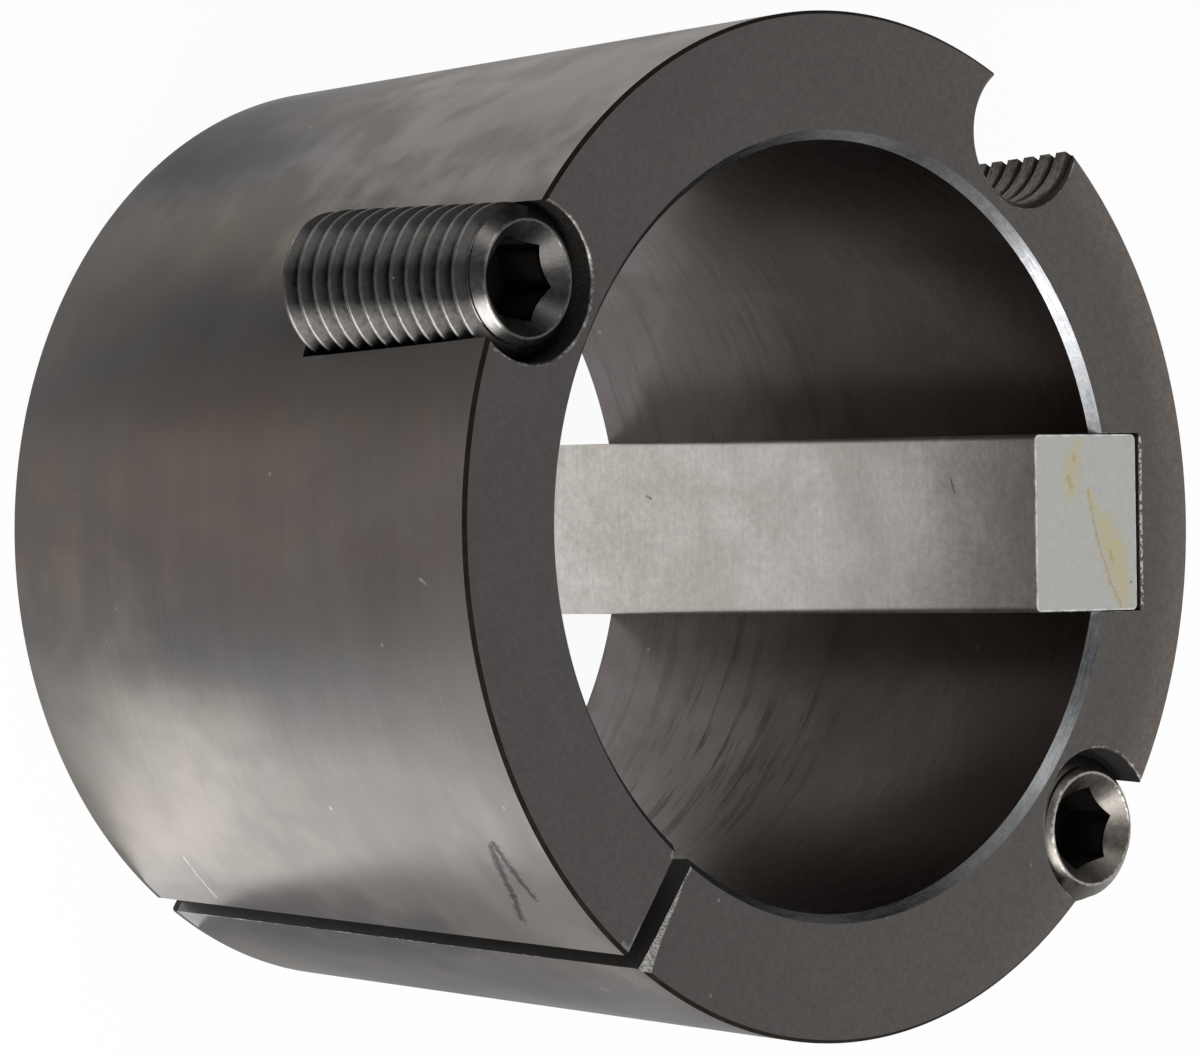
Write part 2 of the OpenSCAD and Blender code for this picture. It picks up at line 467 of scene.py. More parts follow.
SCRATCHES = (
    ((-10.2, 12.2), (-3.1, 11.8), 0.16),
    ((-45.4, 68.6), (-44.9, 69.5), 0.2),
    ((0.9, 46.2), (1.4, 46.4), 0.25),
    ((1.2, 50.2), (1.6, 50.4), 0.25),
    ((3.6, 48.0), (4.0, 48.3), 0.2),
    ((4.8, 71.6), (5.4, 72.4), 0.25),
    ((7.6, 63.6), (8.2, 64.2), 0.25),
)
colour = cone.strokes(colour, cone.at["Unrolled"], SCRATCHES, STEEL, 0.45)
colour = cone.mix(cone.calc("MULTIPLY", flecks, 0.7), colour, STEEL)
cone.show(
    Base_Color=colour,
    Roughness=cone.step(cool, 0.0, 1.0, 0.42, 0.46),
    Tangent=cone.node("Tangent", direction_type="RADIAL", axis="Z").outputs[0],
)
cone.relief((lines, 0.0015), (flecks, 0.01))

# %% [markdown]
# ## Finish: the faced ends
# The end faces are duller than the cone and almost even. Up close they are finely mottled, with a few pale
# specks, wear beside the split and a pocket, and a bright burr along the key's slot. Their colour is also
# lightened towards the key's side, and more near the rim there, which is painted light.

# %% The faced ends
def from_key(across, along):
    """A point of the large face given from the key: away from the axis and round it."""
    middle = on_circle(KEY_DIR, across)
    side = on_circle(KEY_DIR + math.pi / 2, along)
    return tuple((middle + side).xy)


face = Finish("faced_black", Specular_IOR_Level=0.5)
face_plane = face.vector("MULTIPLY", face.at["Place"], (1, 1, 0))
mottle = face.grain(1.6, 5.0, 0.75)
cloud = face.use(STAINS, place=face.at["Place"], size=16.0, low=0.35, high=0.7)[0]
flecks = face.flecks(size=2.2, share=0.1)
towards_key = face.vector("DOT_PRODUCT", face.at["Place"], tuple(on_circle(KEY_DIR, 1.0)))
rim_side = face.step(face.at["Radius"], 48.0, LARGE_R - RIM_BREAK)
painted_rim_highlight = face.calc("MULTIPLY", rim_side, face.step(towards_key, 15.0, 50.0))
colour = face.mix(cloud, (0.0235, 0.0196, 0.0178), (0.0286, 0.0245, 0.0226))
# Painted light: lighter towards the key's side, and a painted highlight near the rim on that side.
colour = face.mix(face.step(towards_key, -50.0, 60.0), colour, (0.048, 0.0412, 0.0372))
colour = face.mix(face.calc("MULTIPLY", painted_rim_highlight, 0.6), colour, (0.120, 0.096, 0.080))
colour = face.shade(colour, face.between(mottle, 0.66, 1.34))
FACE_SMUDGES = (
    ((-1.5, -53.4), (-2.4, -53.3), 0.4),
    ((-1.45, -50.5), (-1.5, -53.4), 0.16),
    ((-1.7, -41.6), (-1.55, -42.2), 0.3),
    ((-51.0, -13.2), (-49.0, -11.3), 0.3),
)
colour = face.strokes(colour, face_plane, FACE_SMUDGES, (0.16, 0.155, 0.15), 0.7)
BURR_OUT = 0.28
beads = face.step(face.grain(2.6, 2.0, 0.6), 0.47, 0.53)
burr = face.use(
    STROKE,
    point=face_plane,
    start=(*from_key(SLOT_HIGH + BURR_OUT, 9.0), 0),
    end=(*from_key(SLOT_HIGH + BURR_OUT, -9.3), 0),
    width=face.step(beads, 0.0, 1.0, 0.1, 0.32),
)[0]
colour = face.mix(face.calc("MULTIPLY", burr, beads), colour, (0.5, 0.49, 0.48))
colour = face.mix(face.calc("MULTIPLY", flecks, 0.7), colour, (0.22, 0.215, 0.21))
face.coat(colour, mottle, 0.40, 0.52)
face.relief((mottle, 0.006))

# %% [markdown]
# ## Finish: the bore
# The bore was bored and not polished. Deep down its colour is lightened, a painted reflection of the bright
# floor, and towards the mouth it is darkened as painted shade and made browner. The boring tool left broken
# streaks, most of them in one patch deep in the bore.

# %% The bore
bore = Finish("bored_black", Metallic=1.0)
lines = bore.tool_lines(fineness=0.7, reach=2.6)
fine = bore.tool_lines(fineness=6.0, reach=9.0)
cloud = bore.use(STAINS, place=bore.at["Place"], size=14.0, low=0.4, high=0.65)[0]
flecks = bore.flecks(size=3.0, share=0.06)
patches = bore.spot(bore.at["Unrolled"], bore.ragged(bore.at["Unrolled"]), (70, 29), (24, 22))
streaks = bore.calc("MULTIPLY", bore.step(lines, 0.48, 0.64), bore.step(fine, 0.3, 0.6, 0.5, 1.0))
deep = bore.step(bore.at["Height"], 52.0, 30.0)
where = bore.calc("MULTIPLY", deep, bore.calc("MULTIPLY_ADD", patches, 0.7, 0.22))
streaks = bore.calc("MULTIPLY", streaks, where)
colour = bore.mix(cloud, (0.079, 0.069, 0.0645), (0.097, 0.0865, 0.0835))
colour = bore.mix(streaks, colour, (0.016, 0.014, 0.014))
colour = bore.mix(bore.calc("MULTIPLY", flecks, 0.6), colour, (0.25, 0.24, 0.23))
# Painted light: the colour is lifted about 1.6 times deep in the bore, a painted reflection, and cut to
# about 0.6 and browned near the mouth, painted shade.
painted_bore_shading = bore.step(bore.at["Height"], 8.0, 42.0)
colour = bore.mix(1.0, colour, bore.mix(painted_bore_shading, (1.62, 1.62, 1.66), (0.64, 0.58, 0.54)), "MULTIPLY")
bore.coat(colour, fine, 0.22, 0.32)
bore.relief((bore.calc("MULTIPLY", fine, deep), 0.003))

# %% [markdown]
# ## Finishes: sawn and drilled walls, chamfers, the rim and bare edges
# Walls inside the slots and pockets are dull and black. The chamfers were cut last and are smooth. The
# narrow break round the outer rim kept a rough brown crust, and sharp edges are rubbed down to grey.

# %% Cut walls, chamfers, rim and edges
walls = Finish("cut_black", Specular_IOR_Level=0.3)
grain = walls.grain(2.5, 4.0, 0.7)
colour = walls.mix(walls.step(grain, 0.35, 0.7), (0.008, 0.007, 0.006), (0.018, 0.016, 0.014))
walls.coat(colour, grain, 0.5, 0.65)
walls.relief((grain, 0.02))

smooth = Finish("smooth_chamfer", Metallic=1.0)
grain = smooth.tool_lines(fineness=6.0, reach=14.0, across="Radius")
nicks = smooth.grain(1.1, 4.0, 0.7)
colour = smooth.mix(smooth.step(nicks, 0.4, 0.72), (0.122, 0.124, 0.128), (0.158, 0.162, 0.168))
smooth.coat(colour, grain, 0.22, 0.34)
smooth.relief((nicks, 0.006))

rim = Finish("rim_crust", Specular_IOR_Level=0.1, Roughness=0.8)
crust = rim.grain(0.5, 4.0, 0.6)
rim.show(Base_Color=rim.mix(rim.step(crust, 0.35, 0.7), (0.005, 0.003, 0.002), (0.014, 0.009, 0.006)))
rim.relief((rim.grain(5.0, 3.0, 0.6), 0.02))

edge = Finish("rubbed_edge", Metallic=1.0)
rub = edge.grain(0.9, 5.0, 0.75)
colour = edge.mix(edge.step(rub, 0.45, 0.7), (0.07, 0.066, 0.062), (0.30, 0.29, 0.28))
edge.coat(colour, rub, 0.4, 0.5)

# %% [markdown]
# ## Finishes: the tapped hole and the broken edge
# The half hole's thread has flat crests that screws have rubbed grey, and brown dirt in its roots. Beside
# the split an edge of the wall has broken off, and the fracture shows bare grey iron with fine ridges.

# %% Tapped hole and broken edge
tapped = Finish("tapped_black", centre=tuple(on_circle(REMOVAL_DIR, CENTRE_R)), Metallic=0.8)
grain = tapped.grain(1.8, 4.0, 0.7)
drag = tapped.tool_lines(fineness=4.0, reach=3.0)
crest = tapped.step(tapped.at["Radius"], REMOVAL_R + 0.3, REMOVAL_R + 0.02)
rubbed = tapped.calc("MULTIPLY", crest, tapped.step(tapped.calc("ADD", grain, drag), 0.85, 1.12, 0.2, 1.0))
colour = tapped.mix(rubbed, (0.020, 0.015, 0.011), (0.145, 0.128, 0.117))
tapped.coat(colour, grain, 0.42, 0.58)
tapped.relief((grain, 0.03), (drag, 0.05))

broken = Finish("broken_iron", Metallic=0.7)
ridges = broken.noise(broken.vector("MULTIPLY", broken.at["Place"], (2.4, 6.0, 2.4)), 1.0, 4.0, 0.75)
grain = broken.grain(4.0, 3.0, 0.7)
colour = broken.mix(broken.step(ridges, 0.4, 0.62), (0.10, 0.095, 0.09), (0.36, 0.35, 0.34))
broken.coat(colour, grain, 0.4, 0.6)
broken.relief((ridges, 0.09), (grain, 0.04))

FACED, TURNED, BORED, CUT, SMOOTH, RIM, EDGE, TAPPED, BROKEN = range(9)
BUSH_FINISHES = [face, cone, bore, walls, smooth, rim, edge, tapped, broken]
print("finishes on the bush:", len(BUSH_FINISHES))

# %% [markdown]
# ## Finish: the set screws
# A set screw is blackened too. Its crests and the rims of its end are worn, so brightness follows the
# distance from its own axis. Painted light scales the rest: each screw has a painted brightness level, and
# some sides get painted highlights. Deep in the socket it stays dull.


# %% The set screws
def screw_finish(name, direction, top, tint, crest_tint, plain, painted_glints):
    """The finish of a screw, from its axis and the height of its end."""
    made = Finish(name, centre=tuple(on_circle(direction, CENTRE_R + SCREW_OUT)), Metallic=1.0)
    radius = made.at["Radius"]
    height = made.at["Height"]
    grain = made.grain(1.5, 5.0, 0.75)
    drag = made.tool_lines(fineness=5.0, reach=2.5)
    crest = made.step(radius, SCREW_R - 0.2, SCREW_R - 0.02)
    from_rim = made.calc("SUBTRACT", radius, END_FLAT_R - 0.1)
    ring = made.use(WORN_EDGE, place=made.at["Place"], distance=from_rim, width=0.22)[0]
    near_end = made.step(height, top - 0.9, top - 0.3)
    within = made.step(radius, SOCKET_AF / 2 + 0.7, SOCKET_AF / 2 + 0.1)
    inside = made.calc("MULTIPLY", within, made.step(height, top - 1.4, top - 2.6))
    worn = made.calc("MULTIPLY", crest, made.step(grain, 0.3, 0.62, 0.4, 1.0))
    worn = made.calc("MAXIMUM", worn, made.calc("MULTIPLY", ring, near_end))
    colour = made.mix(made.step(grain, 0.35, 0.65), tint, tuple(c * 1.3 for c in tint))
    colour = made.mix(worn, colour, crest_tint)
    # Painted light: a brightness level per screw, plus painted highlights on the sides given by bearing,
    # spread and gain.
    painted_sheen = plain
    for side, spread, gain in painted_glints:
        nearness = made.vector("DOT_PRODUCT", made.at["Around"], tuple(on_circle(math.radians(side), 1.0)))
        edge_of_side = math.cos(math.radians(spread))
        painted_sheen = made.calc("ADD", painted_sheen, made.step(nearness, edge_of_side, 1.0, 0.0, gain))
    colour = made.shade(colour, painted_sheen)
    colour = made.mix(inside, colour, (0.024, 0.021, 0.018))
    flecks = made.flecks(size=1.3, share=0.04)
    colour = made.mix(made.calc("MULTIPLY", flecks, 0.5), colour, STEEL)
    dull = made.calc("MULTIPLY", inside, 0.6)
    made.show(Base_Color=colour, Roughness=made.calc("MAXIMUM", made.between(grain, 0.28, 0.40), dull))
    made.relief((grain, 0.012), (drag, 0.008))
    return made


# Per screw: tint, worn crest tint, plain level and painted highlights. The left screw's level of 0.7 and the
# right's of 1.4 make a shaded and a lit copy of one finish, which is painted light.
SCREW_LOOKS = {
    "screw_right": {
        "tint": (0.060, 0.055, 0.049),
        "crest_tint": (0.20, 0.19, 0.175),
        "plain": 1.4,
        "painted_glints": ((225, 45, 0.6),),
    },
    "screw_left": {
        "tint": (0.042, 0.040, 0.038),
        "crest_tint": (0.105, 0.102, 0.098),
        "plain": 0.7,
        "painted_glints": ((252, 24, 2.1), (183, 22, 0.9)),
    },
}
screw_finishes = {
    name: screw_finish(name + "_black", screw["dir"], LENGTH - screw["recess"], **SCREW_LOOKS[name])
    for name, screw in SCREWS.items()
}

# %% [markdown]
# ## Finish: the key
# The key is bright drawn bar. Its sides have gone satin and mottled. Its sawn end is greyer and duller, and
# carries yellow stains of old oil with browner edges.

# %% The key
bright = Finish("bright_bar", turn=KEY_DIR, Metallic=1.0)
mottle = bright.grain(1.1, 6.0, 0.8)
cloud = bright.use(STAINS, place=bright.at["Place"], size=11.0, low=0.35, high=0.7)[0]
cross = bright.noise(bright.vector("MULTIPLY", bright.at["Place"], (0.15, 0.15, 2.0)), 1.0, 4.0, 0.7)
key_parts = bright.node("SeparateXYZ", {0: bright.at["Place"]}).outputs
side_plane = bright.join(key_parts["Y"], key_parts["Z"])
colour = bright.mix(cloud, (0.497, 0.464, 0.431), (0.602, 0.573, 0.542))
colour = bright.shade(colour, bright.between(mottle, 0.84, 1.14))
colour = bright.shade(colour, bright.between(cross, 0.95, 1.05))
# Painted shade: the key's sides darken to half their colour towards the large end.
colour = bright.shade(colour, bright.step(key_parts["Z"], 77.0, 54.0, 0.5, 1.0))
KEY_TICKS = (
    ((5.0, 63.5), (3.5, 64.0), 0.2),
    ((3.6, 16.7), (3.4, 17.2), 0.3),
)
colour = bright.strokes(colour, side_plane, KEY_TICKS, (0.06, 0.045, 0.03), 0.7)
bright.coat(colour, mottle, 0.37, 0.45)
bright.relief((mottle, 0.008))

bright_end = Finish("bright_end", turn=KEY_DIR, Metallic=0.85)
mottle = bright_end.grain(1.6, 5.0, 0.7)
end_plane = bright_end.vector("MULTIPLY", bright_end.at["Place"], (1, 1, 0))
colour = bright_end.mix(bright_end.between(mottle), (0.375, 0.375, 0.360), (0.425, 0.427, 0.415))
KEY_STAINS = (
    ((36.6, 8.9), (35.9, 6.6), 1.1),
    ((35.6, 6.2), (35.2, 3.6), 2.4),
    ((38.3, 3.0), (40.2, 0.0), 1.1),
    ((40.6, -0.5), (41.8, -2.4), 2.4),
    ((41.8, -2.4), (42.8, -5.4), 3.0),
    ((42.8, -5.4), (43.7, -8.0), 2.2),
)
colour = bright_end.strokes(colour, end_plane, KEY_STAINS, (0.43, 0.39, 0.25), 0.75)
KEY_STAIN_EDGES = (
    ((38.0, 3.4), (39.2, -1.2), 0.35),
    ((39.2, -1.2), (41.4, -6.4), 0.4),
    ((41.4, -6.4), (43.0, -8.9), 0.45),
    ((41.4, -3.2), (41.7, -4.0), 0.5),
    ((35.9, 7.1), (35.9, 6.8), 0.4),
    ((35.0, 4.8), (35.3, 4.0), 0.7),
)
colour = bright_end.strokes(colour, end_plane, KEY_STAIN_EDGES, (0.36, 0.28, 0.13), 0.55)
KEY_SPECKS = (((44.7, -6.4), (44.7, -6.45), 0.18),)
colour = bright_end.strokes(colour, end_plane, KEY_SPECKS, (0.05, 0.05, 0.04), 0.9)
bright_end.coat(colour, mottle, 0.42, 0.54)
bright_end.relief((mottle, 0.008))

bright_edge = Finish("bright_edge", turn=KEY_DIR, Metallic=1.0)
rub = bright_edge.grain(0.8, 4.0, 0.7)
colour = bright_edge.mix(bright_edge.step(rub, 0.35, 0.65), (0.36, 0.36, 0.35), (0.62, 0.62, 0.60))
bright_edge.coat(colour, rub, 0.35, 0.5)

# %% [markdown]
# ## Helpers for shapes
# A turned shape is a profile spun round an axis. Holes and slots are cut with the exact Boolean solver,
# which needs closed shapes. A cutter's faces carry the number of the finish that the cut leaves behind, and
# the solver passes it on to the new walls.


# %% Helpers that make and cut shapes
SAME_PLACE = 1e-4
LEVEL = 0.95
SLANTED = 0.3
MOUTH_ZONE = 2.0


def link(name, bm, finishes):
    """A bmesh as a scene object, still in millimetres."""
    mesh = bpy.data.meshes.new(name)
    bm.to_mesh(mesh)
    bm.free()
    for made in finishes:
        mesh.materials.append(made.material)
    piece = bpy.data.objects.new(name, mesh)
    bpy.context.scene.collection.objects.link(piece)
    return piece


def spin_profile(bm, profile, closed, angle, steps, **more):
    """Spins points of radius and height round the Z axis. Returns the first and the last of them."""
    points = [bm.verts.new((r, 0, z)) for r, z in profile]
    pairs = list(zip(points, points[1:]))
    if closed:
        pairs.append((points[-1], points[0]))
    geom = points + [bm.edges.new(pair) for pair in pairs]
    spun = bmesh.ops.spin(bm, geom=geom, cent=(0, 0, 0), axis=(0, 0, 1), angle=angle, steps=steps, **more)
    return points, [g for g in spun["geom_last"] if isinstance(g, bmesh.types.BMVert)]


def lathe(profile, steps, closed=True):
    """A profile spun all the way round."""
    bm = bmesh.new()
    spin_profile(bm, profile, closed, math.tau, steps, use_merge=True)
    bmesh.ops.remove_doubles(bm, verts=bm.verts, dist=SAME_PLACE)
    bmesh.ops.recalc_face_normals(bm, faces=bm.faces)
    return bm


def bar(low, high):
    """A box between two corners."""
    low, high = Vector(low), Vector(high)
    bm = bmesh.new()
    bmesh.ops.create_cube(bm, size=1)
    bmesh.ops.scale(bm, vec=high - low, verts=bm.verts)
    bmesh.ops.translate(bm, vec=(high + low) / 2, verts=bm.verts)
    return bm


def bevel(bm, edges, width, segments, finish=-1):
    """Rounds edges. The new faces take a finish of their own, or that of the faces beside them."""
    return bmesh.ops.bevel(
        bm, geom=edges, offset=width, affect="EDGES", segments=segments, profile=0.5, material=finish
    )["faces"]


def moved_to(bm, direction, centre):
    """Turns a shape round the Z axis and moves it."""
    bmesh.ops.rotate(bm, cent=(0, 0, 0), matrix=Matrix.Rotation(direction, 3, "Z"), verts=bm.verts)
    bmesh.ops.translate(bm, vec=centre, verts=bm.verts)
    return bm


def finished(bm, finish, mouth=None):
    """Gives all faces one finish, and the slanted ones at a mouth another."""
    bm.normal_update()
    for part in bm.faces:
        slanted = SLANTED < abs(part.normal.z) < LEVEL and part.calc_center_median().z > LENGTH - MOUTH_ZONE
        part.material_index = mouth if mouth is not None and slanted else finish
    return bm


def boolean(piece, cutter_bm, finishes, operation="DIFFERENCE"):
    """Cuts a piece with a closed shape and keeps the result as its mesh."""
    cutter = link("cutter", cutter_bm, finishes)
    modifier = piece.modifiers.new("cut", "BOOLEAN")
    modifier.object = cutter
    modifier.operation = operation
    modifier.solver = "EXACT"
    depsgraph = bpy.context.evaluated_depsgraph_get()
    cut = bpy.data.meshes.new_from_object(piece.evaluated_get(depsgraph))
    piece.modifiers.remove(modifier)
    piece.data = cut
    bpy.data.objects.remove(cutter)


# %% [markdown]
# ## The bush
# The body is turned from one profile: cone, bore and the two faces, with a small chamfer on each rim. The
# split, the key's slot, the two screw pockets and the half hole are then cut from it, as they are on the
# real piece.

# %% Turn the body
BORE_CHAMFER = 1.0
BODY_STEPS = 360


def cone_r(z):
    return SMALL_R + z * math.tan(TAPER)


def body_finish(part):
    """The finish of a face of the turned body, from its slope and place."""
    outside = part.calc_center_median().xy.length > (SMALL_R + BORE_R) / 2
    if abs(part.normal.z) > LEVEL:
        return FACED
    if abs(part.normal.z) > SLANTED:
        return RIM if outside else SMOOTH
    return TURNED if outside else BORED


body = lathe(
    [
        (BORE_R, BORE_CHAMFER),
        (BORE_R + BORE_CHAMFER, 0),
        (SMALL_R - RIM_BREAK, 0),
        (cone_r(RIM_BREAK), RIM_BREAK),
        (cone_r(LENGTH - RIM_BREAK), LENGTH - RIM_BREAK),
        (LARGE_R - RIM_BREAK, LENGTH),
        (BORE_R + BORE_CHAMFER, LENGTH),
        (BORE_R, LENGTH - BORE_CHAMFER),
    ],
    BODY_STEPS,
)
body.normal_update()
for part in body.faces:
    part.material_index = body_finish(part)
bush = link("bush_body", body, BUSH_FINISHES)
print("turned body:", len(bush.data.polygons), "faces")

# %% Cut the slot and the split
OVER = 2.0
KEY_SIDE_GAP = 0.05
SPLIT_W = 2.6
SPLIT_DIR = math.radians(270)

slot_half = KEY_W / 2 + KEY_SIDE_GAP
slot = bar((KEY_LOW, -slot_half, -OVER), (SLOT_HIGH, slot_half, LENGTH + OVER))
boolean(bush, finished(moved_to(slot, KEY_DIR, (0, 0, 0)), CUT), BUSH_FINISHES)

split = bar((BORE_R - 3 * OVER, -SPLIT_W / 2, -OVER), (LARGE_R + OVER, SPLIT_W / 2, LENGTH + OVER))
boolean(bush, finished(moved_to(split, SPLIT_DIR, (0, 0, 0)), CUT), BUSH_FINISHES)
print("bush with its slot and split:", len(bush.data.polygons), "faces")

# %% Drill the pockets and the half hole
POCKET_GAP = 0.46
POCKET_R = SCREW_R + POCKET_GAP
POCKET_MOUTH = 0.22
REMOVAL_DEPTH = 34.0
REMOVAL_MOUTH = 0.7
DRILL_SLOPE = math.radians(31)
HOLE_STEPS = 120
ODD_TURN = math.radians(0.2)


def drilled(direction, radius, floor_z, mouth, tip, finish, mouth_finish):
    """Cuts a blind hole with a chamfered mouth. A small odd turn keeps its edges off the body's own."""
    profile = [
        (0, floor_z - tip),
        (radius, floor_z),
        (radius, LENGTH - mouth),
        (radius + mouth, LENGTH),
        (radius + mouth, LENGTH + OVER),
        (0, LENGTH + OVER),
    ]
    cutter = moved_to(lathe(profile, HOLE_STEPS, closed=False), ODD_TURN, on_circle(direction, CENTRE_R))
    boolean(bush, finished(cutter, finish, mouth_finish), BUSH_FINISHES)


for screw in SCREWS.values():
    drilled(screw["dir"], POCKET_R, LENGTH - SCREW_LEN - screw["recess"], POCKET_MOUTH, 0.0, CUT, EDGE)
hole_z = LENGTH - REMOVAL_DEPTH
drill_tip = REMOVAL_R * math.tan(DRILL_SLOPE)
drilled(REMOVAL_DIR, REMOVAL_R, hole_z, REMOVAL_MOUTH, drill_tip, TAPPED, TAPPED)
print("bush with its holes:", len(bush.data.polygons), "faces")

# %% [markdown]
# ## The broken edge of the split
# On one side of the split, the wall's edge broke away along the large face, in a strip that widens towards
# the outside. Triangles of growing size are bridged into a wedge, its slope is divided and roughened, and
# the wedge is cut away.

# %% Break the edge of the split
STATIONS = ((40.0, 0.22), (43.5, 0.32), (47.0, 0.48), (50.0, 0.75), (52.2, 1.05), (55.5, 1.75))
BREAK_SLOPE = 0.55
BREAK_ROUGHNESS = (0.05, 0.06, 0.05)
BREAK_OVERLAP = 0.3
BREAK_LIFT = 0.02
BREAK_TOP = 0.6
UNDIVIDED = 0.2
random.seed(7)

wedge = bmesh.new()
rings = []
for radius, width in STATIONS:
    corners = (
        (SPLIT_W / 2 - BREAK_OVERLAP, LENGTH - width * BREAK_SLOPE),
        (SPLIT_W / 2 + width, LENGTH + BREAK_LIFT),
        (SPLIT_W / 2 - BREAK_OVERLAP, LENGTH + BREAK_TOP),
    )
    ring = [wedge.verts.new((x, -radius, z)) for x, z in corners]
    rings.append([wedge.edges.new((ring[i], ring[(i + 1) % 3])) for i in range(3)])
for first, second in zip(rings, rings[1:]):
    bmesh.ops.bridge_loops(wedge, edges=first + second)
for ring in (rings[0], rings[-1]):
    bmesh.ops.contextual_create(wedge, geom=ring)
bmesh.ops.recalc_face_normals(wedge, faces=wedge.faces)
slope = [e for e in wedge.edges if e.calc_length() > UNDIVIDED]
bmesh.ops.subdivide_edges(wedge, edges=slope, cuts=5, use_grid_fill=True)
for vert in wedge.verts:
    if vert.co.z < LENGTH + BREAK_LIFT / 2:
        vert.co += Vector([random.uniform(-reach, reach) for reach in BREAK_ROUGHNESS])
bmesh.ops.triangulate(wedge, faces=wedge.faces)
boolean(bush, finished(wedge, BROKEN), BUSH_FINISHES)
print("bush with its broken edge:", len(bush.data.polygons), "faces")

# %% [markdown]
# ## Edges
# No machined edge is perfectly sharp, and a thin rounding is what catches the light. The Boolean leaves
# short edges where two cuts cross, so near points are merged and flat neighbours joined before the bevel.
# Chamfers and the fracture are edges enough by themselves. The bevel's faces get the finish of rubbed edges.

# %% Break the sharp edges
EDGE_BREAK = 0.07
SHARP = math.radians(35)
FLAT = math.radians(0.1)
MERGE = 0.02


def to_be_broken(e):
    """Whether an edge stands out and no chamfer or fracture lies beside it."""
    if not e.is_manifold or not e.is_convex or e.calc_face_angle() < SHARP:
        return False
    return not {part.material_index for part in e.link_faces} & {SMOOTH, RIM, BROKEN}


bm = bmesh.new()
bm.from_mesh(bush.data)
bmesh.ops.remove_doubles(bm, verts=bm.verts, dist=MERGE)
bmesh.ops.dissolve_limit(bm, angle_limit=FLAT, verts=bm.verts, edges=bm.edges, delimit={"MATERIAL"})
bm.normal_update()
sharp = [e for e in bm.edges if to_be_broken(e)]
bevelled = bevel(bm, sharp, EDGE_BREAK, 2, EDGE)
still_open = sum(not e.is_manifold for e in bm.edges)
print("broke", len(sharp), "edges into", len(bevelled), "faces, with", still_open, "open edges")
bm.to_mesh(bush.data)
bm.free()

# %% [markdown]
# ## The threads
# A thread is one tooth of the profile, carried round the axis while it climbs. The spin operator does that
# when it gets a step along the axis for each step of the turn. An open profile's ends are drawn to a point,
# which closes the rod for the Boolean that trims it.

# %% Helical rod and groove
PITCH = 2.309
TURN_STEPS = 72
FLANK = math.tan(math.radians(30))


def helical(profile, turns, closed):
    """A profile carried round a right-hand helix. An open one becomes a solid rod."""
    bm = bmesh.new()
    steps = math.ceil(turns * TURN_STEPS)
    angle = math.tau * steps / TURN_STEPS
    ends = spin_profile(bm, profile, closed, angle, steps, dvec=(0, 0, PITCH / TURN_STEPS))
    if closed:
        for end in ends:
            bmesh.ops.contextual_create(bm, geom=end)
    else:
        bmesh.ops.remove_doubles(bm, verts=bm.verts, dist=SAME_PLACE)
        rims = [e for e in bm.edges if e.is_boundary]
        middle = sum(e.verts[0].co.z for e in rims) / len(rims)
        for side in (-1, 1):
            rim_edges = [e for e in rims if (e.verts[0].co.z - middle) * side > 0]
            drawn = bmesh.ops.extrude_edge_only(bm, edges=rim_edges)["geom"]
            tip = [g for g in drawn if isinstance(g, bmesh.types.BMVert)]
            height = max(v.co.z * side for v in tip) * side + OVER * side
            bmesh.ops.pointmerge(bm, verts=tip, merge_co=(0, 0, height))
    bmesh.ops.recalc_face_normals(bm, faces=bm.faces)
    return bm


# %% Cut the thread of the half hole
REMOVAL_PLAIN = 4.0
REMOVAL_TURN = math.radians(98)
THREAD_CLEAR = 0.05
TAP_R = SCREW_R + THREAD_CLEAR
GROOVE_OVERLAP = 0.2

inner_r = REMOVAL_R - GROOVE_OVERLAP
root_half = PITCH / 16
inner_half = root_half + (TAP_R - inner_r) * FLANK
groove = [(inner_r, -inner_half), (TAP_R, -root_half), (TAP_R, root_half), (inner_r, inner_half)]
tap = helical(groove, (REMOVAL_DEPTH - REMOVAL_PLAIN) / PITCH + 1, closed=True)
moved_to(tap, REMOVAL_TURN, on_circle(REMOVAL_DIR, CENTRE_R, hole_z + REMOVAL_PLAIN))
boolean(bush, finished(tap, TAPPED), BUSH_FINISHES)
print("bush with its thread:", len(bush.data.polygons), "faces")

# %% [markdown]
# ## The set screws
# The thread's rod is trimmed by a plain turned blank, which gives the chamfered ends where the thread runs
# out, and then the hexagon socket and its countersink are cut.

# %% One tooth of the thread
CREST_W = PITCH / 8
ROOT_W = PITCH / 4
THREAD_DEPTH = (PITCH - CREST_W - ROOT_W) / 2 / FLANK
ROOT_R = SCREW_R - THREAD_DEPTH
half_tooth = [
    (ROOT_R, 0),
    (ROOT_R + 0.02, ROOT_W * 0.42),
    (ROOT_R + 0.12, ROOT_W * 0.62),
    (SCREW_R - 0.07, PITCH / 2 - CREST_W * 0.64),
    (SCREW_R - 0.01, PITCH / 2 - CREST_W * 0.35),
    (SCREW_R, PITCH / 2),
]
TOOTH = half_tooth + [(r, PITCH - z) for r, z in reversed(half_tooth[:-1])]
print(f"thread {THREAD_DEPTH:.2f} mm deep, of {len(TOOTH)} points")

# %% Set screws
POINT_BREAK = 1.2
SOCKET_DEPTH = 8.0
SOCKET_MOUTH_R = 5.9
SCREW_STEPS = 96


